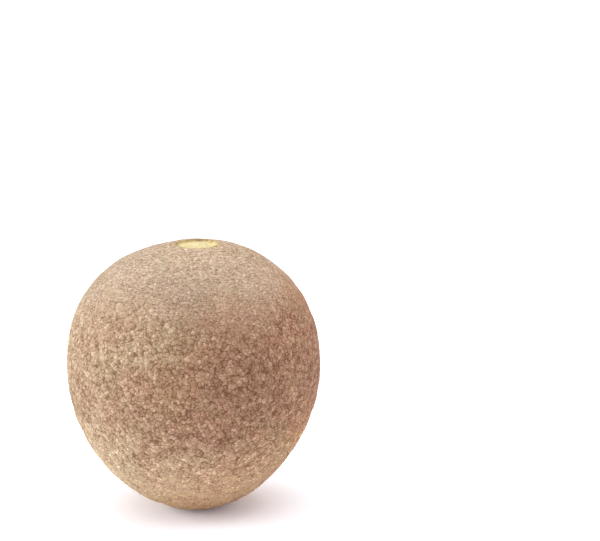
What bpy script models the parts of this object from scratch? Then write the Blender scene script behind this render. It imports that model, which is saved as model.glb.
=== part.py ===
"""A ripe wood apple: one hard-rinded fruit that stands on the small flat spot at its blossom end.

The fruit is a spun egg with broad shoulders and a narrower base. The stalk has come away and has
left a round, sunken scar on the crown. The rind carries low lumps of scurf, larger than life.
Metres, +Z up, with the origin at the middle of the resting flat.
"""

import math

import bmesh
import bpy
from mathutils import Vector, noise

# The egg: its width, and its two halves above and below the widest level
FRUIT_WIDTH = 0.0680
CROWN_HEIGHT = 0.0336
CROWN_POWER = 2.22
BASE_DEPTH = 0.0396
BASE_POWER = 1.86

# The flat spot that the fruit rests on
FLAT_RADIUS = 0.0055
FLAT_FADE = 0.0060

# The stalk scar: a sunken dish with a steep wall and a low collar round it, a little off the axis
SCAR_RADIUS = 0.0057
SCAR_DEPTH = 0.0011
SCAR_WALL = 0.0006
COLLAR_HEIGHT = 0.00015
COLLAR_WIDTH = 0.0016
CROWN_REACH = 0.0095
SCAR_SHIFT = 0.0012
SHIFT_REACH = 0.0220
FLOOR_RINGS = 3
WALL_RINGS = 4
COLLAR_RINGS = 4

# The blossom-end scar: a small round dimple beside the resting flat
BLOSSOM_BEARING = math.radians(222)
BLOSSOM_DISTANCE = 0.0118
BLOSSOM_RADIUS = 0.0024
BLOSSOM_DEPTH = 0.0005

# The relief of the rind: slow swells, and lumps of scurf
SWELL_SIZE = 0.024
SWELL_HEIGHT = 0.00030
LUMP_SIZE = 0.0046
LUMP_HEIGHT = 0.00036
LUMP_FIELD = Vector((7.3, 2.1, 4.7))

# Shallow dents: bearing round the fruit, height, radius and depth
DENTS = (
    (math.radians(24), 0.047, 0.013, 0.0003),
    (math.radians(118), 0.030, 0.016, 0.0004),
    (math.radians(203), 0.052, 0.012, 0.0003),
    (math.radians(318), 0.024, 0.011, 0.0002),
)

SEGMENTS = 90
SIDE_RINGS = 38
MERGE_DISTANCE = 1e-6

HALF_WIDTH = FRUIT_WIDTH / 2
RIND_COLOUR = (0.47, 0.31, 0.20, 1.0)
SCAR_COLOUR = (0.86, 0.74, 0.42, 1.0)


def smooth_step(low, high, value):
    """0 at low and 1 at high, level beyond them, with a smooth rise between."""
    share = min(max((value - low) / (high - low), 0.0), 1.0)
    return share * share * (3.0 - 2.0 * share)


def egg_height(radius, half_height, power):
    """How far the egg reaches above or below its widest level, at this distance from the axis."""
    return half_height * (1.0 - (radius / HALF_WIDTH) ** power) ** (1.0 / power)


WIDEST_LEVEL = egg_height(FLAT_RADIUS, BASE_DEPTH, BASE_POWER)
FRUIT_HEIGHT = WIDEST_LEVEL + CROWN_HEIGHT


def egg_side(angle):
    """The outline's radius and height where a ray from the middle of the widest level meets it."""
    half_height, power = (CROWN_HEIGHT, CROWN_POWER) if angle > 0 else (BASE_DEPTH, BASE_POWER)
    across = abs(math.cos(angle)) / HALF_WIDTH
    along = abs(math.sin(angle)) / half_height
    reach = (across**power + along**power) ** (-1.0 / power)
    return reach * math.cos(angle), WIDEST_LEVEL + reach * math.sin(angle)


def crown_point(radius):
    """The outline on the crown: the egg, with the collar raised and the stalk scar sunk."""
    height = WIDEST_LEVEL + egg_height(radius, CROWN_HEIGHT, CROWN_POWER)
    collar_middle = SCAR_RADIUS + SCAR_WALL
    collar = COLLAR_HEIGHT * math.exp(-(((radius - collar_middle) / COLLAR_WIDTH) ** 2))
    sunk = smooth_step(SCAR_RADIUS, SCAR_RADIUS - SCAR_WALL, radius)
    return radius, height + collar * (1.0 - sunk) - SCAR_DEPTH * sunk


def evenly(start, end, steps):
    """Evenly spaced values after start, up to and with end."""
    return [start + (end - start) * step / steps for step in range(1, steps + 1)]


def outline():
    """The fruit's outline from the middle of the stalk scar down to the middle of the flat."""
    wall_foot = SCAR_RADIUS - SCAR_WALL
    radii = [0.0]
    radii += evenly(0.0, wall_foot, FLOOR_RINGS)
    radii += evenly(wall_foot, SCAR_RADIUS, WALL_RINGS)
    radii += evenly(SCAR_RADIUS, CROWN_REACH, COLLAR_RINGS)
    points = [crown_point(radius) for radius in radii]
    top_angle = math.atan2(egg_height(CROWN_REACH, CROWN_HEIGHT, CROWN_POWER), CROWN_REACH)
    flat_angle = math.atan2(-WIDEST_LEVEL, FLAT_RADIUS)
    points += [egg_side(angle) for angle in evenly(top_angle, flat_angle, SIDE_RINGS)]
    points[-1] = (FLAT_RADIUS, 0.0)
    points.append((0.0, 0.0))
    return points


def spin_outline(mesh, points):
    """Turn the outline round the axis into a closed body."""
    line = [mesh.verts.new((radius, 0.0, height)) for radius, height in points]
    edges = [mesh.edges.new(pair) for pair in zip(line, line[1:])]
    bmesh.ops.spin(
        mesh,
        geom=line + edges,
        cent=(0.0, 0.0, 0.0),
        axis=(0.0, 0.0, 1.0),
        dvec=(0.0, 0.0, 0.0),
        angle=math.tau,
        steps=SEGMENTS,
        use_merge=True,
    )
    bmesh.ops.remove_doubles(mesh, verts=mesh.verts[:], dist=MERGE_DISTANCE)
    bmesh.ops.recalc_face_normals(mesh, faces=mesh.faces[:])


def shift_scar(mesh):
    """Carry the stalk scar a little to one side, and leave the fruit's outline where it is."""
    for vertex in mesh.verts:
        if vertex.co.z > WIDEST_LEVEL:
            radius = math.hypot(vertex.co.x, vertex.co.y)
            vertex.co.x += SCAR_SHIFT * smooth_step(SHIFT_REACH, CROWN_REACH, radius)


def side_point(bearing, height):
    """The point of the plain egg at this bearing and height."""
    above = height - WIDEST_LEVEL
    half_height, power = (CROWN_HEIGHT, CROWN_POWER) if above > 0 else (BASE_DEPTH, BASE_POWER)
    radius = HALF_WIDTH * (1.0 - (abs(above) / half_height) ** power) ** (1.0 / power)
    return Vector((radius * math.cos(bearing), radius * math.sin(bearing), height))


def blossom_point():
    """The middle of the blossom-end scar, on the underside of the fruit."""
    below = egg_height(BLOSSOM_DISTANCE, BASE_DEPTH, BASE_POWER)
    across = BLOSSOM_DISTANCE * math.cos(BLOSSOM_BEARING)
    along = BLOSSOM_DISTANCE * math.sin(BLOSSOM_BEARING)
    return Vector((across, along, WIDEST_LEVEL - below))


def hollow(point, middle, radius, depth):
    """The depth of a round hollow at a point: full in its middle and nothing at its edge."""
    return depth * smooth_step(radius, 0.0, (point - middle).length)


def relief(point):
    """How far the rind stands out from the plain egg at this point."""
    swell = SWELL_HEIGHT * noise.noise(point / SWELL_SIZE)
    lumps = LUMP_HEIGHT * noise.noise(point / LUMP_SIZE + LUMP_FIELD)
    dents = 0.0
    for bearing, height, radius, depth in DENTS:
        dents += hollow(point, side_point(bearing, height), radius, depth)
    return swell + lumps - dents


def press_relief(mesh):
    """Move the rind in and out along its normals, away from the flat and from the stalk scar."""
    mesh.normal_update()
    scar = Vector((SCAR_SHIFT, 0.0, FRUIT_HEIGHT))
    blossom = blossom_point()
    moves = []
    for vertex in mesh.verts:
        point = vertex.co
        from_flat = smooth_step(FLAT_RADIUS, FLAT_RADIUS + FLAT_FADE, point.length)
        from_scar = smooth_step(SCAR_RADIUS, CROWN_REACH, (point - scar).length)
        dimple = hollow(point, blossom, BLOSSOM_RADIUS, BLOSSOM_DEPTH)
        moves.append(vertex.normal * (relief(point) * from_flat * from_scar - dimple))
    for vertex, move in zip(mesh.verts, moves):
        vertex.co += move


def plain_material(name, colour, roughness):
    """A plain finish with the colour and roughness of the real surface."""
    material = bpy.data.materials.new(name)
    material.use_nodes = True
    shader = material.node_tree.nodes["Principled BSDF"]
    shader.inputs["Base Color"].default_value = colour
    shader.inputs["Roughness"].default_value = roughness
    shader.inputs["Metallic"].default_value = 0.0
    return material


def paint_scar(body):
    """Give the faces of the stalk scar their own material."""
    for face in body.polygons:
        across = face.center - Vector((SCAR_SHIFT, 0.0, 0.0))
        in_scar = face.center.z > WIDEST_LEVEL and math.hypot(across.x, across.y) < SCAR_RADIUS
        face.material_index = 1 if in_scar else 0


def clear_scene():
    for item in list(bpy.data.objects):
        bpy.data.objects.remove(item, do_unlink=True)


def make_fruit():
    mesh = bmesh.new()
    spin_outline(mesh, outline())
    shift_scar(mesh)
    press_relief(mesh)
    body = bpy.data.meshes.new("fruit")
    mesh.to_mesh(body)
    mesh.free()
    body.materials.append(plain_material("scurfy_rind", RIND_COLOUR, 0.85))
    body.materials.append(plain_material("bare_scar", SCAR_COLOUR, 0.80))
    paint_scar(body)
    body.shade_smooth()
    fruit = bpy.data.objects.new("fruit", body)
    bpy.context.scene.collection.objects.link(fruit)
    return fruit


clear_scene()
make_fruit()
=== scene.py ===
"""The looks of a wood apple: a scurfy rind with real granules, and the bare scar where the stalk sat.

Metres, +Z up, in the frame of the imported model. The fruit stands on its resting flat at the origin.
"""

import math
from itertools import groupby

import bmesh
import bpy
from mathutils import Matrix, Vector, noise


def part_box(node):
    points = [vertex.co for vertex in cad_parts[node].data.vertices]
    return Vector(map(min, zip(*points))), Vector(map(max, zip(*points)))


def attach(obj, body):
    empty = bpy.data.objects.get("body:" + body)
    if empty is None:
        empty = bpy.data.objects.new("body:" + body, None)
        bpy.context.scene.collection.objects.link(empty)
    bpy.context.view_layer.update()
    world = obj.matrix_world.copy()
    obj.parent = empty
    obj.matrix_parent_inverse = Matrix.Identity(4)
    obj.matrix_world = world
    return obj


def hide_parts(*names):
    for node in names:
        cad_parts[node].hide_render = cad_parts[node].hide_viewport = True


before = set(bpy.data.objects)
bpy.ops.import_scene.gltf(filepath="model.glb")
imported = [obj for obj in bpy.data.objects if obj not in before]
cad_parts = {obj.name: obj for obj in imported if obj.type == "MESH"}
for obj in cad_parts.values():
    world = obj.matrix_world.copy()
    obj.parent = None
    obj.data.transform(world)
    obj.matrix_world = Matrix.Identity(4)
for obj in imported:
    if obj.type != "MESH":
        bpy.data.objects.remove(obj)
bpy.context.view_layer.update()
FRUIT_LOW = Vector(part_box("fruit")[0])

# The egg of the solid fruit, which the finer rind keeps
HALF_WIDTH = 0.0340
CROWN_HEIGHT = 0.0336
CROWN_POWER = 2.22
BASE_DEPTH = 0.0396
BASE_POWER = 1.86
FLAT_RADIUS = 0.0055
FLAT_FADE = 0.0060

# The stalk scar
SCAR_RADIUS = 0.0057
SCAR_DEPTH = 0.0011
SCAR_WALL = 0.0006
SCAR_SHIFT = 0.0012
COLLAR_HEIGHT = 0.00015
COLLAR_WIDTH = 0.0016
CROWN_REACH = 0.0095
SHIFT_REACH = 0.0220
RIM_WOBBLE = 0.00060
RIM_WOBBLE_REACH = 0.0030

# The waves of the scar's ragged rim: how close they are, and how strong
RIM_WAVES = (1.3, 1.0), (4.0, 0.5), (9.0, 0.5)

# The blossom-end scar
BLOSSOM_BEARING = math.radians(222)
BLOSSOM_DISTANCE = 0.0118
BLOSSOM_RADIUS = 0.0024
BLOSSOM_DEPTH = 0.0005

# Slow swells, lumps and shallow dents of the rind
SWELL_SIZE = 0.024
SWELL_HEIGHT = 0.00030
LUMP_SIZE = 0.0046
LUMP_HEIGHT = 0.00014
LUMP_FIELD = Vector((7.3, 2.1, 4.7))
DENTS = (
    (math.radians(24), 0.047, 0.013, 0.0003),
    (math.radians(118), 0.030, 0.016, 0.0004),
    (math.radians(203), 0.052, 0.012, 0.0003),
    (math.radians(318), 0.024, 0.011, 0.0002),
)

# The scurf: how large its marks are, and how far they stand out
CLUMP_SIZE = 0.0030
CURL_SIZE = 0.0014
FLAKE_SIZE = 0.0013
FLECK_SIZE = 0.00085
GRAIN_SIZE = 0.00035
DASH_SIZE = 0.0010
CREASE_SIZE = 0.0052
CREASE_WIDTH = 0.018
CREASE_PATCH_SIZE = 0.0070
WRINKLE_SIZE = 0.0012
WRINKLE_WIDTH = 0.05
CLUMP_HEIGHT = 0.00022
CURL_HEIGHT = 0.00045
FLAKE_HEIGHT = 0.00020
CREASE_DEPTH = 0.00012
FLECK_HEIGHT = 0.00005
GRAIN_HEIGHT = 0.00006
SCURF_FLAT_FADE = 0.0030
SCURF_SCAR_FADE = 0.0014

# How the scurf bends: the size of the bends, and how far they push
BROAD_CURL = 0.0014, 0.0008
FINE_CURL = 0.0006, 0.0005
CRUMPLE = 0.0007, 0.0005
LEVEL_STRETCH = (1.0, 1.0, 3.0)

# Where each mark of the scurf starts and is full, as shares of its cell or noise, and how high
# the lowest flake is beside the highest
FLAKE_TOP = 0.0, 0.30
LOWEST_FLAKE = 0.4
FURROW_EDGES = 0.13, 0.0
CRACK_EDGES = 0.20, 0.0
FLECK_EDGES = 0.60, 0.15
CREASE_PATCHES = 0.46, 0.60

# The crown's relief is calmer: between these heights, by this share
CALM_LEVELS = 0.047, 0.066
CALM_SHARE = 0.55

# Mesh counts: the wider a ring of the rind is, the more segments it has. A tenth is spun, then copied.
SEGMENT_STEPS = (0.0240, 500), (0.0170, 350), (0.0120, 250), (0.0085, 180), (0.0, 120)
DISH_RINGS = 4
WALL_RINGS = 6
COLLAR_RINGS = 10
SIDE_RINGS = 220
PAD_FLOOR_RINGS = 36
PAD_WALL_RINGS = 14
SCAR_SEGMENTS = 180
SECTORS = 10
MERGE_DISTANCE = 1e-6

# Camera and stage
LENS = 135.0
SENSOR = 36.0
CAMERA_DISTANCE = 0.606
CAMERA_ELEVATION = math.radians(15.5)
AIM_RIGHT = 0.0289
AIM_UP = 0.0252
FAR_CLIP = 20.0
FLOOR_SIDE = 8.0
ROOM_LIGHT = 0.10
BACKDROP_LIGHT = 1.1


def smooth_step(low, high, value):
    """0 at low and 1 at high, level beyond them, with a smooth rise between."""
    share = min(max((value - low) / (high - low), 0.0), 1.0)
    return share * share * (3.0 - 2.0 * share)


def egg_height(radius, half_height, power):
    """How far the egg reaches above or below its widest level, at this distance from the axis."""
    return half_height * (1.0 - (radius / HALF_WIDTH) ** power) ** (1.0 / power)


WIDEST_LEVEL = FRUIT_LOW.z + egg_height(FLAT_RADIUS, BASE_DEPTH, BASE_POWER)
FRUIT_TOP = WIDEST_LEVEL + CROWN_HEIGHT
SCAR_MIDDLE = Vector((SCAR_SHIFT, 0.0, FRUIT_TOP))


def egg_side(angle):
    """The outline's radius and height where a ray from the middle of the widest level meets it."""
    half_height, power = (CROWN_HEIGHT, CROWN_POWER) if angle > 0 else (BASE_DEPTH, BASE_POWER)
    across = abs(math.cos(angle)) / HALF_WIDTH
    along = abs(math.sin(angle)) / half_height
    reach = (across**power + along**power) ** (-1.0 / power)
    return reach * math.cos(angle), WIDEST_LEVEL + reach * math.sin(angle)


def crown_point(radius):
    """The outline on the crown: the egg, with the collar raised and the stalk scar sunk."""
    height = WIDEST_LEVEL + egg_height(radius, CROWN_HEIGHT, CROWN_POWER)
    collar_middle = SCAR_RADIUS + SCAR_WALL
    collar = COLLAR_HEIGHT * math.exp(-(((radius - collar_middle) / COLLAR_WIDTH) ** 2))
    sunk = smooth_step(SCAR_RADIUS, SCAR_RADIUS - SCAR_WALL, radius)
    return radius, height + collar * (1.0 - sunk) - SCAR_DEPTH * sunk


def side_point(bearing, height):
    """The point of the plain egg at this bearing and height."""
    above = height - WIDEST_LEVEL
    half_height, power = (CROWN_HEIGHT, CROWN_POWER) if above > 0 else (BASE_DEPTH, BASE_POWER)
    radius = HALF_WIDTH * (1.0 - (abs(above) / half_height) ** power) ** (1.0 / power)
    return Vector((radius * math.cos(bearing), radius * math.sin(bearing), height))


def blossom_point():
    """The middle of the blossom-end scar, on the underside of the fruit."""
    below = egg_height(BLOSSOM_DISTANCE, BASE_DEPTH, BASE_POWER)
    across = BLOSSOM_DISTANCE * math.cos(BLOSSOM_BEARING)
    along = BLOSSOM_DISTANCE * math.sin(BLOSSOM_BEARING)
    return Vector((across, along, WIDEST_LEVEL - below))


BLOSSOM_MIDDLE = blossom_point()
DENT_POINTS = [(side_point(bearing, height), radius, depth) for bearing, height, radius, depth in DENTS]


def evenly(start, end, steps):
    """Evenly spaced values after start, up to and with end."""
    return [start + (end - start) * step / steps for step in range(1, steps + 1)]


def ring_segments(radius):
    """How many segments a ring of the rind has, so that its mesh is about as fine everywhere."""
    return next(segments for limit, segments in SEGMENT_STEPS if radius >= limit)


def turn(mesh, geometry, angle, steps, copies):
    """Turn geometry round the axis, into a surface or into copies of it."""
    bmesh.ops.spin(
        mesh,
        geom=geometry,
        cent=(0.0, 0.0, 0.0),
        axis=(0.0, 0.0, 1.0),
        dvec=(0.0, 0.0, 0.0),
        angle=angle,
        steps=steps,
        use_duplicate=copies,
    )


def turn_band(mesh, points, segments):
    """Turn a stretch of an outline through one sector."""
    line = [mesh.verts.new((radius, 0.0, height)) for radius, height in points]
    edges = [mesh.edges.new(pair) for pair in zip(line, line[1:])]
    turn(mesh, line + edges, math.tau / SECTORS, segments // SECTORS, False)


def on_ring(edge, ring):
    """Whether both ends of an edge are on a ring, given by its radius and height."""
    return all(
        math.dist((vertex.co.xy.length, vertex.co.z), ring) < 4 * MERGE_DISTANCE for vertex in edge.verts
    )


def spin_outline(points, segments_at):
    """A closed body that an outline makes as it turns. Its bands have as many segments as they need."""
    mesh = bmesh.new()
    bands = [list(band) for _, band in groupby(points, key=lambda point: segments_at(point[0]))]
    for band in bands:
        turn_band(mesh, band, segments_at(band[0][0]))
    sector = mesh.verts[:] + mesh.edges[:] + mesh.faces[:]
    turn(mesh, sector, math.tau * (SECTORS - 1) / SECTORS, SECTORS - 1, True)
    bmesh.ops.remove_doubles(mesh, verts=mesh.verts[:], dist=MERGE_DISTANCE)
    open_edges = [edge for edge in mesh.edges if edge.is_boundary]
    for upper, lower in zip(bands, bands[1:]):
        rings = [edge for edge in open_edges if on_ring(edge, upper[-1]) or on_ring(edge, lower[0])]
        bmesh.ops.bridge_loops(mesh, edges=rings)
    bmesh.ops.recalc_face_normals(mesh, faces=mesh.faces[:])
    return mesh


def place_round_scar(point):
    """Carry a point of the crown to the scar's own middle, and wobble the scar's rim."""
    radius = math.hypot(point.x, point.y)
    if radius > 0.0:
        bearing = Vector((point.x, point.y, 0.0)) / radius
        near = smooth_step(RIM_WOBBLE_REACH, 0.0, abs(radius - SCAR_RADIUS))
        ragged = sum(strength * noise.noise(bearing * pitch) for pitch, strength in RIM_WAVES)
        point += bearing * (RIM_WOBBLE * near * ragged)
    point.x += SCAR_SHIFT * smooth_step(SHIFT_REACH, CROWN_REACH, radius)


def hollow(point, middle, radius, depth):
    """The depth of a round hollow at a point: full in its middle and nothing at its edge."""
    return depth * smooth_step(radius, 0.0, (point - middle).length)


def broad_relief(point):
    """How far the rind stands out from the plain egg, before its scurf."""
    swell = SWELL_HEIGHT * noise.noise(point / SWELL_SIZE)
    lumps = LUMP_HEIGHT * noise.noise(point / LUMP_SIZE + LUMP_FIELD)
    dents = 0.0
    for middle, radius, depth in DENT_POINTS:
        dents += hollow(point, middle, radius, depth)
    return swell + lumps - dents


def press_broad_relief(mesh):
    """Move the rind in and out along its normals, away from the flat and from the stalk scar."""
    mesh.normal_update()
    moves = []
    for vertex in mesh.verts:
        point = vertex.co
        from_flat = smooth_step(FLAT_RADIUS, FLAT_RADIUS + FLAT_FADE, point.length)
        from_scar = smooth_step(SCAR_RADIUS, CROWN_REACH, (point - SCAR_MIDDLE).length)
        dimple = hollow(point, BLOSSOM_MIDDLE, BLOSSOM_RADIUS, BLOSSOM_DEPTH)
        moves.append(vertex.normal * (broad_relief(point) * from_flat * from_scar - dimple))
    for vertex, move in zip(mesh.verts, moves):
        vertex.co += move


class Value:
    """A value that a node gives out. Arithmetic on it adds Math nodes to its tree."""

    def __init__(self, nodes, output):
        self.nodes = nodes
        self.output = output

    def math(self, operation, first, second):
        return self.nodes.value("ShaderNodeMath", {"operation": operation}, {0: first, 1: second})

    def size(self):
        """The value without its sign."""
        return self.math("ABSOLUTE", self, 0.0)

    def __add__(self, other):
        return self.math("ADD", self, other)

    def __radd__(self, other):
        return self.math("ADD", other, self)

    def __sub__(self, other):
        return self.math("SUBTRACT", self, other)

    def __rsub__(self, other):
        return self.math("SUBTRACT", other, self)

    def __mul__(self, other):
        return self.math("MULTIPLY", self, other)

    def __rmul__(self, other):
        return self.math("MULTIPLY", other, self)


class Nodes:
    """A node tree, of a material or of geometry, that is written as Python expressions."""

    def __init__(self, tree):
        self.tree = tree

    def add(self, kind, settings, inputs):
        """A node of this type. Its settings come first, then the values or links of its sockets."""
        node = self.tree.nodes.new(kind)
        for name, setting in settings.items():
            setattr(node, name, setting)
        for key, value in inputs.items():
            if isinstance(value, Value):
                self.tree.links.new(value.output, node.inputs[key])
            else:
                node.inputs[key].default_value = value
        return node

    def value(self, kind, settings, inputs, output=0):
        return Value(self, self.add(kind, settings, inputs).outputs[output])

    def vector(self, operation, first, second, third=(0.0, 0.0, 0.0), output=0):
        inputs = {0: first, 1: second}
        if operation == "MULTIPLY_ADD":
            inputs[2] = third
        return self.value("ShaderNodeVectorMath", {"operation": operation}, inputs, output)

    def smooth(self, value, low, high):
        """0 where the value is at low and 1 where it is at high, with a smooth rise between."""
        ends = {"Value": value, "From Min": low, "From Max": high}
        return self.value("ShaderNodeMapRange", {"interpolation_type": "SMOOTHSTEP"}, ends)

    def clouds(self, place, size, detail, roughness=0.55, distortion=0.0, output=0):
        """Soft noise with features of about this size, around 0.5."""
        inputs = {"Vector": place, "Scale": 1.0 / size, "Detail": detail}
        inputs.update({"Roughness": roughness, "Distortion": distortion})
        return self.value("ShaderNodeTexNoise", {}, inputs, output)

    def warp(self, place, size, amount):
        """The place, pushed about by soft noise, so that what is drawn there curls."""
        push = self.vector("SUBTRACT", self.clouds(place, size, 2.0, output=1), (0.5, 0.5, 0.5))
        return self.vector("MULTIPLY_ADD", push, (amount, amount, amount), place)

    def cells(self, place, size, feature, output):
        """Cells of about this size: the distance to their middle or edge, or a colour of their own."""
        inputs = {"Vector": place, "Scale": 1.0 / size}
        return self.value("ShaderNodeTexVoronoi", {"feature": feature}, inputs, output)

    def crease(self, place, size, width):
        """Thin winding lines about this far apart, and about as wide as this share of it."""
        return self.smooth((self.clouds(place, size, 1.0) - 0.5).size(), width, 0.0)

    def mix(self, factor, first, second):
        """A colour between two colours."""
        inputs = {0: factor, 6: first, 7: second}
        return self.value("ShaderNodeMix", {"data_type": "RGBA"}, inputs, 2)

    def tint(self, first, second):
        """One colour multiplied by another."""
        settings = {"data_type": "RGBA", "blend_type": "MULTIPLY"}
        return self.value("ShaderNodeMix", settings, {0: 1.0, 6: first, 7: second}, 2)

    def axis(self, vector, index):
        """One number of a vector or a colour."""
        return self.value("ShaderNodeSeparateXYZ", {}, {0: vector}, index)


def scurf(nodes, place):
    """The marks of the scurf at a place of the rind, each from about 0 to 1, and how calm it is."""
    curled = nodes.warp(nodes.warp(place, *BROAD_CURL), *FINE_CURL)
    crumpled = nodes.warp(place, *CRUMPLE)
    level_lines = nodes.vector("MULTIPLY", crumpled, LEVEL_STRETCH)
    edge = nodes.cells(curled, FLAKE_SIZE, "DISTANCE_TO_EDGE", 0)
    flake_own = nodes.axis(nodes.cells(curled, FLAKE_SIZE, "F1", 1), 0)
    fine_edge = nodes.cells(crumpled, FLECK_SIZE, "DISTANCE_TO_EDGE", 0)
    fleck_middle = nodes.cells(crumpled, FLECK_SIZE, "F1", 0)
    creased = nodes.smooth(nodes.clouds(place, CREASE_PATCH_SIZE, 1.0), *CREASE_PATCHES)
    return {
        "clump": nodes.clouds(place, CLUMP_SIZE, 2.0),
        "curl": nodes.clouds(curled, CURL_SIZE, 3.0, 0.7, 0.4),
        "own": flake_own,
        "flake": nodes.smooth(edge, *FLAKE_TOP) * (LOWEST_FLAKE + (1.0 - LOWEST_FLAKE) * flake_own),
        "furrow": nodes.smooth(edge, *FURROW_EDGES),
        "crack": nodes.smooth(fine_edge, *CRACK_EDGES),
        "fleck": nodes.smooth(fleck_middle, *FLECK_EDGES),
        "grain": nodes.clouds(place, GRAIN_SIZE, 2.0),
        "crease": nodes.crease(curled, CREASE_SIZE, CREASE_WIDTH) * creased,
        "wrinkle": nodes.crease(level_lines, WRINKLE_SIZE, WRINKLE_WIDTH),
        "dash": nodes.clouds(level_lines, DASH_SIZE, 3.0, 0.7),
        "calm": 1.0 - CALM_SHARE * nodes.smooth(nodes.axis(place, 2), *CALM_LEVELS),
    }


def scurf_height(field):
    """How far the scurf stands out, in metres, down to the finest that the mesh can carry."""
    raised = CLUMP_HEIGHT * (field["clump"] - 0.5) + CURL_HEIGHT * (field["curl"] - 0.5)
    raised = raised + FLAKE_HEIGHT * (field["flake"] - 0.5) - CREASE_DEPTH * field["crease"]
    return raised * field["calm"]


def distance_from(nodes, place, point):
    """How far a place is from a fixed point."""
    apart = nodes.vector("SUBTRACT", place, tuple(point))
    return nodes.vector("LENGTH", apart, (0.0, 0.0, 0.0), output=1)


def raise_scurf(piece):
    """Raise the scurf's granules in the mesh itself, away from the flat and from the scar's rim."""
    tree = bpy.data.node_groups.new("scurf_relief", "GeometryNodeTree")
    for direction in ("INPUT", "OUTPUT"):
        tree.interface.new_socket("Geometry", in_out=direction, socket_type="NodeSocketGeometry")
    nodes = Nodes(tree)
    body = nodes.value("NodeGroupInput", {}, {})
    place = nodes.value("GeometryNodeInputPosition", {}, {})
    normal = nodes.value("GeometryNodeInputNormal", {}, {})
    from_flat = distance_from(nodes, place, (0.0, 0.0, FRUIT_LOW.z))
    from_scar = distance_from(nodes, place, SCAR_MIDDLE)
    fade = nodes.smooth(from_flat, FLAT_RADIUS, FLAT_RADIUS + SCURF_FLAT_FADE)
    fade = fade * nodes.smooth(from_scar, SCAR_RADIUS, SCAR_RADIUS + SCURF_SCAR_FADE)
    height = scurf_height(scurf(nodes, place)) * fade
    scale = {"operation": "SCALE"}
    offset = nodes.value("ShaderNodeVectorMath", scale, {0: normal, "Scale": height})
    raised = nodes.value("GeometryNodeSetPosition", {}, {"Geometry": body, "Offset": offset})
    nodes.add("NodeGroupOutput", {}, {0: raised})
    modifier = piece.modifiers.new("scurf", "NODES")
    modifier.node_group = tree
    evaluated = piece.evaluated_get(bpy.context.evaluated_depsgraph_get())
    finished = bpy.data.meshes.new_from_object(evaluated)
    piece.modifiers.clear()
    plain = piece.data
    piece.data = finished
    bpy.data.meshes.remove(plain)
    bpy.data.node_groups.remove(tree)
    finished.name = piece.name


def new_piece(name, mesh, material):
    """An object at the origin, with its place in its mesh, smooth shaded and with its finish."""
    body = bpy.data.meshes.new(name)
    mesh.to_mesh(body)
    mesh.free()
    body.materials.append(material)
    body.shade_smooth()
    piece = bpy.data.objects.new(name, body)
    bpy.context.scene.collection.objects.link(piece)
    return piece


def new_material(name):
    """A material, its nodes, its shader, and the place on the piece that it colours."""
    material = bpy.data.materials.new(name)
    material.use_nodes = True
    nodes = Nodes(material.node_tree)
    shader = material.node_tree.nodes["Principled BSDF"]
    place = nodes.value("ShaderNodeTexCoord", {}, {}, "Object")
    return material, nodes, shader, place


def feed(nodes, shader, inputs):
    """Link or set sockets of the shader."""
    for name, value in inputs.items():
        if isinstance(value, Value):
            nodes.tree.links.new(value.output, shader.inputs[name])
        else:
            shader.inputs[name].default_value = value


# The rind's broad colours, each on its painted shaded side (+X) and on its painted lit side (-X). The
# redder +X side is painted shade and the paler -X side is painted light. The paler crown and base beside
# the darker middle are partly painted light and shade.
CROWN_TONES = (0.490, 0.357, 0.254, 1.0), (0.350, 0.269, 0.194, 1.0)
MIDDLE_TONES = (0.374, 0.203, 0.125, 1.0), (0.354, 0.236, 0.148, 1.0)
BASE_TONES = (0.517, 0.328, 0.192, 1.0), (0.490, 0.366, 0.234, 1.0)
OLIVE_TONE = (0.340, 0.260, 0.155, 1.0)
# The golden tint warms the lowest part of the rind: painted bounce light from the floor
GOLDEN_TINT = (1.01, 0.965, 0.88, 1.0)
STAIN_TONE = (0.500, 0.400, 0.180, 1.0)
BLOSSOM_TONE = (0.175, 0.100, 0.055, 1.0)
RUBBED_TONE = (0.300, 0.195, 0.120, 1.0)
WHITE = (1.0, 1.0, 1.0, 1.0)

# Where the broad tones change: across the fruit, from the painted shaded side to the painted lit side,
# and up it, where the change is partly painted light and shade
PAINTED_LIT_SIDE_ACROSS = 0.011, -0.029
PAINTED_LIT_SIDE_DRIFT = 0.030
PAINTED_LIT_SIDE_DRIFT_SIZE = 0.016
CROWN_TONE_LEVELS = 0.051, 0.072
BASE_TONE_LEVELS = 0.033, 0.012
# Where the painted golden bounce light near the bottom starts and is full
GOLDEN_LEVELS = 0.0105, 0.004
LEVEL_DRIFT = 0.016
LEVEL_DRIFT_SIZE = 0.020

# Olive clouds on the rind: their size, where they start and are full, and their share
OLIVE_SIZE = 0.013
OLIVE_EDGES = 0.52, 0.70
OLIVE_SHARE = 0.30
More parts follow.
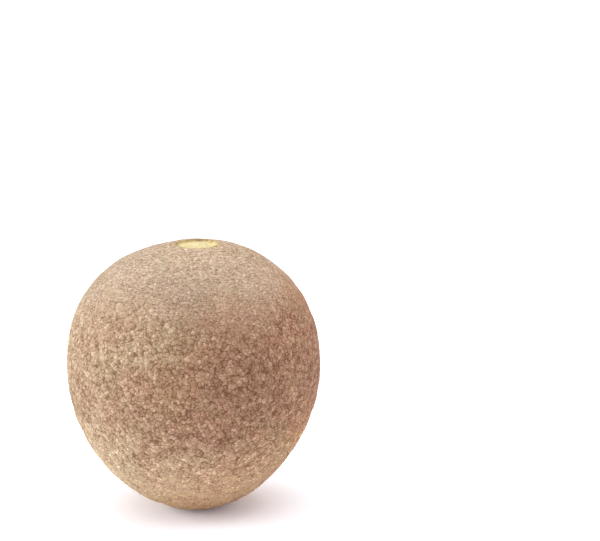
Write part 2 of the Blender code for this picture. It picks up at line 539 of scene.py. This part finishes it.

# Dusky, pale and golden patches, in large part painted light and shade: the pale ones on the left (-X)
# are painted rim light, the dusky ones facing the camera (-Y) and the reddish ones on the right (+X) are
# painted shade, and the golden one low on the front right is painted bounce light. Columns: bearing
# round the fruit, height, radius, and tint at their middle
PATCHES = (
    (math.radians(297), 0.042, 0.014, (0.90, 0.90, 0.90, 1.0)),
    (math.radians(268), 0.065, 0.017, (0.86, 0.86, 0.86, 1.0)),
    (math.radians(252), 0.055, 0.012, (1.12, 1.20, 1.22, 1.0)),
    (math.radians(188), 0.051, 0.016, (1.10, 1.18, 1.20, 1.0)),
    (math.radians(288), 0.061, 0.010, (1.02, 0.96, 0.92, 1.0)),
    (math.radians(260), 0.041, 0.015, (1.00, 0.97, 0.91, 1.0)),
    (math.radians(269), 0.024, 0.010, (1.06, 1.14, 1.18, 1.0)),
    (math.radians(226), 0.029, 0.012, (1.08, 1.09, 1.09, 1.0)),
    (math.radians(336), 0.024, 0.016, (1.08, 1.04, 0.94, 1.0)),
    (math.radians(350), 0.011, 0.014, (0.93, 0.86, 0.80, 1.0)),
    (math.radians(352), 0.059, 0.013, (0.93, 0.86, 0.79, 1.0)),
    (math.radians(184), 0.037, 0.015, (1.10, 1.14, 1.13, 1.0)),
    (math.radians(199), 0.017, 0.017, (1.08, 1.11, 1.10, 1.0)),
    (math.radians(342), 0.005, 0.011, (0.96, 0.88, 0.82, 1.0)),
    (math.radians(75), 0.050, 0.016, (0.88, 0.88, 0.88, 1.0)),
    (math.radians(120), 0.054, 0.013, (1.10, 1.14, 1.14, 1.0)),
    (math.radians(145), 0.030, 0.014, (0.88, 0.88, 0.88, 1.0)),
    (math.radians(20), 0.058, 0.013, (1.10, 1.06, 1.00, 1.0)),
)

# Round marks with ragged edges: their middle, where they start and are full, the size, reach and
# roughness of the ragged edge, their share and their tone
ROUND_MARKS = (
    (
        BLOSSOM_MIDDLE,
        (0.95 * BLOSSOM_RADIUS, 0.45 * BLOSSOM_RADIUS),
        (0.0011, 0.0014, 0.7),
        0.85,
        BLOSSOM_TONE,
    ),
    (
        Vector((0.0, 0.0, FRUIT_LOW.z)),
        (FLAT_RADIUS, FLAT_RADIUS - 0.0018),
        (0.0020, 0.0030, 0.6),
        0.6,
        RUBBED_TONE,
    ),
    (
        SCAR_MIDDLE,
        (SCAR_RADIUS + 0.0008, SCAR_RADIUS - 0.0002),
        (0.0011, 0.0034, 0.7),
        0.8,
        STAIN_TONE,
    ),
)

# How the furrows and the pale flakes of the scurf differ from the colour round them
FURROW_SHARE = (0.46, 0.38, 0.32, 1.0)
FLAKE_SHARE = (1.66, 1.87, 2.16, 1.0)

# The mark that darkens or lightens the rind is 0.5 where it does neither
FURROW_MARKS = 0.0, 0.5
FLAKE_MARKS = 0.5, 1.1
MEAN_MARK = 0.515

# How strongly the coarse marks show: each mark, and all of them on the sides, crown and base
OWN_MARK = 0.42
CLUMP_MARK = 0.6
FURROW_MARK = 0.38
CURL_MARK = 0.9
CREASE_MARK = 0.25
COARSE_LIFT = 0.06
COARSE_ON_SIDES = 1.07
COARSE_LOSS_ON_CROWN = 0.77
COARSE_LOSS_ON_BASE = 0.47

# How strongly the fine marks show on the sides, and how much that changes on the crown
FLECK_MARK = 0.19, -0.11
CRACK_MARK = 0.16, -0.06
DASH_MARK = 0.75, 1.00
GRAIN_MARK = 0.3, 0.8
WRINKLE_MARK = 0.42
WRINKLE_LIFT = 0.08

# Where the marks are those of the crown and of the base
CROWN_MARK_LEVELS = 0.049, 0.067
BASE_MARK_LEVELS = 0.025, 0.009

# Small rosy and olive shifts of hue
HUE_SIZE = 0.0030
HUE_EDGES = 0.35, 0.65
ROSY_TINT = (1.015, 0.99, 1.01, 1.0)
GREENISH_TINT = (0.985, 1.01, 0.97, 1.0)

BUMP_STRENGTH = 0.6
RIND_ROUGHNESS = 0.88
FLECK_SMOOTHNESS = 0.10


def ragged_mark(nodes, place, middle, edges, ragged):
    """A round mark with a ragged edge: 1 inside it and 0 outside."""
    size, reach, roughness = ragged
    stray = reach * (nodes.clouds(place, size, 3.0, roughness) - 0.5)
    return nodes.smooth(distance_from(nodes, place, middle) + stray, *edges)


def broad_tone(nodes, place, level):
    """The rind's colour without its scurf: greyish crown, brown middle and golden base. The paler crown
    and base and the darker middle are partly painted light and shade, the two sides across it are a
    painted lit side and a painted shaded side, and most patches and the golden bottom are painted light
    and shade.
    """
    # The painted lit side (-X) against the painted shaded side (+X), with a soft drift
    drift = nodes.clouds(place, PAINTED_LIT_SIDE_DRIFT_SIZE, 2.0) - 0.5
    painted_lit_side = nodes.smooth(nodes.axis(place, 0) + PAINTED_LIT_SIDE_DRIFT * drift, *PAINTED_LIT_SIDE_ACROSS)
    crown, middle, base = (
        nodes.mix(painted_lit_side, *tones) for tones in (CROWN_TONES, MIDDLE_TONES, BASE_TONES)
    )
    # Tones by height: the paler crown and base and the darker middle are partly painted light and shade
    tone = nodes.mix(nodes.smooth(level, *CROWN_TONE_LEVELS), middle, crown)
    tone = nodes.mix(nodes.smooth(level, *BASE_TONE_LEVELS), tone, base)
    olive = nodes.smooth(nodes.clouds(place, OLIVE_SIZE, 2.0), *OLIVE_EDGES)
    tone = nodes.mix(OLIVE_SHARE * olive, tone, OLIVE_TONE)
    # The patches, in large part painted light and shade
    for bearing, height, radius, patch_tint in PATCHES:
        inside = nodes.smooth(distance_from(nodes, place, side_point(bearing, height)), radius, 0.0)
        tone = nodes.tint(tone, nodes.mix(inside, WHITE, patch_tint))
    # Painted golden bounce light on the lowest part of the rind
    tone = nodes.tint(tone, nodes.mix(nodes.smooth(level, *GOLDEN_LEVELS), WHITE, GOLDEN_TINT))
    for middle_point, edges, ragged, share, mark_tone in ROUND_MARKS:
        marked = ragged_mark(nodes, place, middle_point, edges, ragged)
        tone = nodes.mix(share * marked, tone, mark_tone)
    return tone


def rind_marks(nodes, place, level, field):
    """The tint that the scurf gives the rind. Its coarse marks are weaker on the crown and the base."""
    crown = nodes.smooth(level, *CROWN_MARK_LEVELS)
    base = nodes.smooth(level, *BASE_MARK_LEVELS)

    def strength(mark):
        on_sides, change_on_crown = mark
        return on_sides + change_on_crown * crown

    coarse = OWN_MARK * (field["own"] - 0.5) + CLUMP_MARK * (field["clump"] - 0.5)
    coarse = coarse - FURROW_MARK * field["furrow"] + CURL_MARK * (field["curl"] - 0.5) + COARSE_LIFT
    coarse = coarse - CREASE_MARK * field["crease"]
    fine = strength(FLECK_MARK) * field["fleck"] - strength(CRACK_MARK) * field["crack"]
    fine = fine + strength(DASH_MARK) * (field["dash"] - 0.5)
    fine = fine + strength(GRAIN_MARK) * (field["grain"] - 0.5)
    fine = fine - crown * (WRINKLE_MARK * field["wrinkle"] - WRINKLE_LIFT)
    coarse_strength = COARSE_ON_SIDES - COARSE_LOSS_ON_CROWN * crown - COARSE_LOSS_ON_BASE * base
    mark = MEAN_MARK + coarse_strength * coarse + fine
    marks = nodes.mix(nodes.smooth(mark, *FURROW_MARKS), FURROW_SHARE, WHITE)
    return nodes.mix(nodes.smooth(mark, *FLAKE_MARKS), marks, FLAKE_SHARE)


def rind_material():
    """Matt rind with pale flakes and dark furrows."""
    material, nodes, shader, place = new_material("scurfy_rind")
    level = nodes.axis(place, 2) + LEVEL_DRIFT * (nodes.clouds(place, LEVEL_DRIFT_SIZE, 3.0) - 0.5)
    field = scurf(nodes, place)
    colour = nodes.tint(broad_tone(nodes, place, level), rind_marks(nodes, place, level, field))
    hue = nodes.smooth(nodes.clouds(place, HUE_SIZE, 2.0), *HUE_EDGES)
    colour = nodes.tint(colour, nodes.mix(hue, ROSY_TINT, GREENISH_TINT))
    relief = FLECK_HEIGHT * field["calm"] * (field["fleck"] - field["crack"])
    relief = relief + GRAIN_HEIGHT * field["grain"]
    relief = scurf_height(field) + relief
    bump_inputs = {"Strength": BUMP_STRENGTH, "Distance": 1.0, "Height": relief}
    bump = nodes.value("ShaderNodeBump", {}, bump_inputs)
    feed(
        nodes,
        shader,
        {
            "Base Color": colour,
            "Roughness": RIND_ROUGHNESS - FLECK_SMOOTHNESS * field["fleck"],
            "Specular IOR Level": 0.20,
            "Normal": bump,
        },
    )
    return material


def rind_outline():
    """The rind's outline from the middle of the stalk scar down to the middle of the flat."""
    wall_foot = SCAR_RADIUS - SCAR_WALL
    radii = [0.0]
    radii += evenly(0.0, wall_foot, DISH_RINGS)
    radii += evenly(wall_foot, SCAR_RADIUS, WALL_RINGS)
    radii += evenly(SCAR_RADIUS, CROWN_REACH, COLLAR_RINGS)
    points = [crown_point(radius) for radius in radii]
    top_angle = math.atan2(egg_height(CROWN_REACH, CROWN_HEIGHT, CROWN_POWER), CROWN_REACH)
    flat_angle = math.atan2(FRUIT_LOW.z - WIDEST_LEVEL, FLAT_RADIUS)
    points += [egg_side(angle) for angle in evenly(top_angle, flat_angle, SIDE_RINGS)]
    points[-1] = (FLAT_RADIUS, FRUIT_LOW.z)
    points.append((0.0, FRUIT_LOW.z))
    return points


def make_rind():
    mesh = spin_outline(rind_outline(), ring_segments)
    for vertex in mesh.verts:
        if vertex.co.z > WIDEST_LEVEL:
            place_round_scar(vertex.co)
    press_broad_relief(mesh)
    rind = new_piece("rind", mesh, rind_material())
    raise_scurf(rind)
    return rind


# The bare pad of the stalk scar
PAD_DEPTH = 0.00070
PAD_WALL = 0.00070
PAD_LIP = 0.00003
PAD_THICKNESS = 0.0008
PAD_TOP_DEPTH = 0.0001
PAD_BUMP_DISTANCE = 0.0002

# Its fibres and rays: how high they stand, and how large they are
FINE_FIBRES = 0.00009, 0.0006
BROAD_FIBRES = 0.00018, 0.0021
RAY_HEIGHT = 0.00006
RAY_PITCH = 5.0
RAY_LENGTH = 0.003

# Its tones
SCAR_FLOOR_TONE = (0.640, 0.543, 0.300, 1.0)
SCAR_PALE_TONE = (0.720, 0.660, 0.430, 1.0)
SCAR_WALL_TONE = (0.520, 0.390, 0.180, 1.0)
SCAR_FIBRE_TONE = (0.600, 0.480, 0.250, 1.0)
# The fringe tone is partly the torn rind's own darker colour and partly painted shade at the rim's edge
SCAR_FRINGE_TONE = (0.330, 0.230, 0.125, 1.0)

# The sunken bundle scars in a ring on the pad, and its slightly raised middle
BUNDLES = 21
BUNDLE_RING = 0.0030
BUNDLE_REACH = 0.0005
BUNDLE_DEPTH = 0.00014
BOSS_HEIGHT = 0.00022
BOSS_RADIUS = 0.0011
SPOKE_TURN = 3.0
SPOKE_EDGES = 0.2, 0.9

# Where the tones of the pad's fibres and patches start and are full, and their shares
FIBRE_SIZE = 0.0004
FIBRE_EDGES = 0.48, 0.72
PATCH_SIZE = 0.0020
PATCH_EDGES = 0.48, 0.70
PATCH_SHARE = 0.5
PALE_SIZE = 0.0016
PALE_EDGES = 0.50, 0.64
PALE_SHARE = 0.8
BUNDLE_SHARE = 0.6

# Where the wall and the fringe start and are full, and how far patches and fibres push them
WALL_EDGES = SCAR_RADIUS - 0.0009, SCAR_RADIUS - 0.0004
FRINGE_EDGES = SCAR_RADIUS - 0.00030, SCAR_RADIUS + 0.00005
PATCH_PUSH = 0.0016
FIBRE_PUSH = 0.0005


def scar_material():
    """Bare cream fibres with a ring of darker bundle scars, olive yellow up the wall."""
    material, nodes, shader, place = new_material("bare_scar")
    centred = nodes.vector("SUBTRACT", place, tuple(SCAR_MIDDLE))
    flat = nodes.vector("MULTIPLY", centred, (1.0, 1.0, 0.0))
    radius = nodes.vector("LENGTH", flat, (0.0, 0.0, 0.0), output=1)
    across, along = nodes.axis(flat, 0), nodes.axis(flat, 1)
    bearing = along.math("ARCTAN2", along, across)
    fibre = nodes.clouds(place, FIBRE_SIZE, 3.0, 0.65)
    patch = nodes.clouds(place, PATCH_SIZE, 3.0, 0.6)
    pale = nodes.smooth(nodes.clouds(centred, PALE_SIZE, 3.0, 0.65), *PALE_EDGES)
    spokes = bearing.math("COSINE", BUNDLES * bearing + SPOKE_TURN, 0.0)
    off_ring = (radius - BUNDLE_RING).size()
    bundle = nodes.smooth(off_ring, BUNDLE_REACH, 0.0) * nodes.smooth(spokes, *SPOKE_EDGES)
    ragged = radius + PATCH_PUSH * (patch - 0.5) + FIBRE_PUSH * (fibre - 0.5)
    colour = nodes.mix(nodes.smooth(fibre, *FIBRE_EDGES), SCAR_FLOOR_TONE, SCAR_FIBRE_TONE)
    colour = nodes.mix(PATCH_SHARE * nodes.smooth(patch, *PATCH_EDGES), colour, SCAR_FIBRE_TONE)
    colour = nodes.mix(PALE_SHARE * pale, colour, SCAR_PALE_TONE)
    colour = nodes.mix(BUNDLE_SHARE * bundle, colour, SCAR_WALL_TONE)
    colour = nodes.mix(nodes.smooth(ragged, *WALL_EDGES), colour, SCAR_WALL_TONE)
    # The dark fringe at the rim: partly the torn rind's own darker colour and partly painted shade at
    # the rim's edge
    colour = nodes.mix(nodes.smooth(ragged, *FRINGE_EDGES), colour, SCAR_FRINGE_TONE)
    bump_inputs = {"Strength": BUMP_STRENGTH, "Distance": PAD_BUMP_DISTANCE, "Height": fibre}
    bump = nodes.value("ShaderNodeBump", {}, bump_inputs)
    feed(
        nodes,
        shader,
        {"Base Color": colour, "Roughness": 0.80, "Specular IOR Level": 0.25, "Normal": bump},
    )
    return material


def pad_height(radius):
    """The height of the pad's top: level with the rim, and sunk in the dish."""
    rim = WIDEST_LEVEL + egg_height(radius, CROWN_HEIGHT, CROWN_POWER) + COLLAR_HEIGHT + PAD_LIP
    return rim - PAD_DEPTH * smooth_step(SCAR_RADIUS, SCAR_RADIUS - PAD_WALL, radius)


def pad_relief(point):
    """How far the pad's fibres, bundle scars and middle stand out from its smooth top."""
    radius = point.xy.length
    bearing = math.atan2(point.y, point.x)
    flat = Vector((point.x, point.y, 0.0))
    fibres = sum(height * noise.noise(flat / size) for height, size in (FINE_FIBRES, BROAD_FIBRES))
    turned = Vector((RAY_PITCH * math.cos(bearing), RAY_PITCH * math.sin(bearing), radius / RAY_LENGTH))
    rays = RAY_HEIGHT * noise.noise(turned)
    spokes = smooth_step(*SPOKE_EDGES, math.cos(BUNDLES * bearing + SPOKE_TURN))
    bundles = BUNDLE_DEPTH * spokes * smooth_step(BUNDLE_REACH, 0.0, abs(radius - BUNDLE_RING))
    return fibres + rays - bundles + BOSS_HEIGHT * smooth_step(BOSS_RADIUS, 0.0, radius)


def make_scar():
    """A closed pad that lines the dish of the stalk scar, floor and wall."""
    wall_foot = SCAR_RADIUS - PAD_WALL
    radii = [0.0] + evenly(0.0, wall_foot, PAD_FLOOR_RINGS)
    radii += evenly(wall_foot, SCAR_RADIUS, PAD_WALL_RINGS)
    top = [(radius, pad_height(radius)) for radius in radii]
    under = [(SCAR_RADIUS, top[-1][1] - PAD_THICKNESS), (0.0, top[0][1] - PAD_THICKNESS)]
    mesh = spin_outline(top + under, lambda radius: SCAR_SEGMENTS)
    for vertex in mesh.verts:
        radius = vertex.co.xy.length
        if vertex.co.z > pad_height(radius) - PAD_TOP_DEPTH:
            vertex.co.z += pad_relief(vertex.co) * smooth_step(SCAR_RADIUS, wall_foot, radius)
        place_round_scar(vertex.co)
    return new_piece("stalk_scar", mesh, scar_material())


# The floor's own glow, which is weaker where the fruit stands: a painted contact shadow
SHADE_MIDDLE = (0.001, 0.0, 0.0)
SHADE_EDGES = 0.004, 0.021
SHADED_GLOW = (0.26, 0.24, 0.28, 1.0)
OPEN_GLOW = (0.95, 0.93, 1.0, 1.0)
GLOW_STRENGTH = 0.33
FLOOR_TONE = (0.84, 0.86, 0.92, 1.0)


def floor_material():
    """Pale paper, lit evenly from below by its own glow, except where the fruit stands on it: there the
    dimmer glow is a painted contact shadow.
    """
    material, nodes, shader, place = new_material("pale_floor")
    # Painted contact shadow: the glow dims round where the fruit stands
    lit = nodes.smooth(distance_from(nodes, place, SHADE_MIDDLE), *SHADE_EDGES)
    feed(
        nodes,
        shader,
        {
            "Base Color": FLOOR_TONE,
            "Roughness": 0.9,
            "Specular IOR Level": 0.2,
            "Emission Color": nodes.mix(lit, SHADED_GLOW, OPEN_GLOW),
            "Emission Strength": GLOW_STRENGTH,
        },
    )
    return material


def make_floor():
    mesh = bmesh.new()
    bmesh.ops.create_grid(mesh, x_segments=2, y_segments=2, size=FLOOR_SIDE / 2)
    floor = new_piece("floor", mesh, floor_material())


# Soft lights: bearing round the fruit from the camera's side, elevation, strength, spread, colour
LIGHTS = {
    "left_light": (math.radians(270), math.radians(12), 4.0, math.radians(50), (1.0, 1.0, 1.0)),
    "front_light": (math.radians(335), math.radians(15), 0.4, math.radians(60), (1.0, 1.0, 1.0)),
    "top_light": (0.0, math.radians(90), 3.0, math.radians(70), (1.0, 1.0, 1.0)),
    "right_light": (math.radians(110), math.radians(25), 1.1, math.radians(50), (1.0, 0.90, 0.82)),
}


def light_scene():
    for name, (bearing, elevation, strength, spread, colour) in LIGHTS.items():
        lamp = bpy.data.lights.new(name, "SUN")
        lamp.energy = strength
        lamp.angle = spread
        lamp.color = colour
        light = bpy.data.objects.new(name, lamp)
        across = math.cos(elevation)
        towards = Vector((-math.sin(bearing) * across, math.cos(bearing) * across, -math.sin(elevation)))
        light.rotation_euler = towards.to_track_quat("-Z", "Y").to_euler()
        bpy.context.scene.collection.objects.link(light)
    world = bpy.data.worlds.new("studio")
    world.use_nodes = True
    bpy.context.scene.world = world
    nodes = Nodes(world.node_tree)
    seen = nodes.value("ShaderNodeLightPath", {}, {}, "Is Camera Ray")
    background = world.node_tree.nodes["Background"]
    feed(nodes, background, {"Color": WHITE, "Strength": ROOM_LIGHT + BACKDROP_LIGHT * seen})
    bpy.context.scene.view_settings.view_transform = "Standard"


def place_camera():
    lens = bpy.data.cameras.new("camera")
    lens.lens = LENS
    lens.sensor_width = SENSOR
    lens.clip_end = FAR_CLIP
    camera = bpy.data.objects.new("camera", lens)
    bpy.context.scene.collection.objects.link(camera)
    rise = math.sin(CAMERA_ELEVATION)
    back = math.cos(CAMERA_ELEVATION)
    middle = Vector((0.0, 0.0, WIDEST_LEVEL))
    camera.location = middle + CAMERA_DISTANCE * Vector((0.0, -back, rise))
    aim = middle + AIM_RIGHT * Vector((1.0, 0.0, 0.0)) + AIM_UP * Vector((0.0, rise, back))
    camera.rotation_euler = (aim - camera.location).to_track_quat("-Z", "Y").to_euler()
    bpy.context.scene.camera = camera


place_camera()
light_scene()
make_floor()
rind = make_rind()
stalk_scar = make_scar()
for piece, material_slot in ((rind, "rind"), (stalk_scar, "stalk_scar")):
    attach(piece, "root")
    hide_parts("fruit")
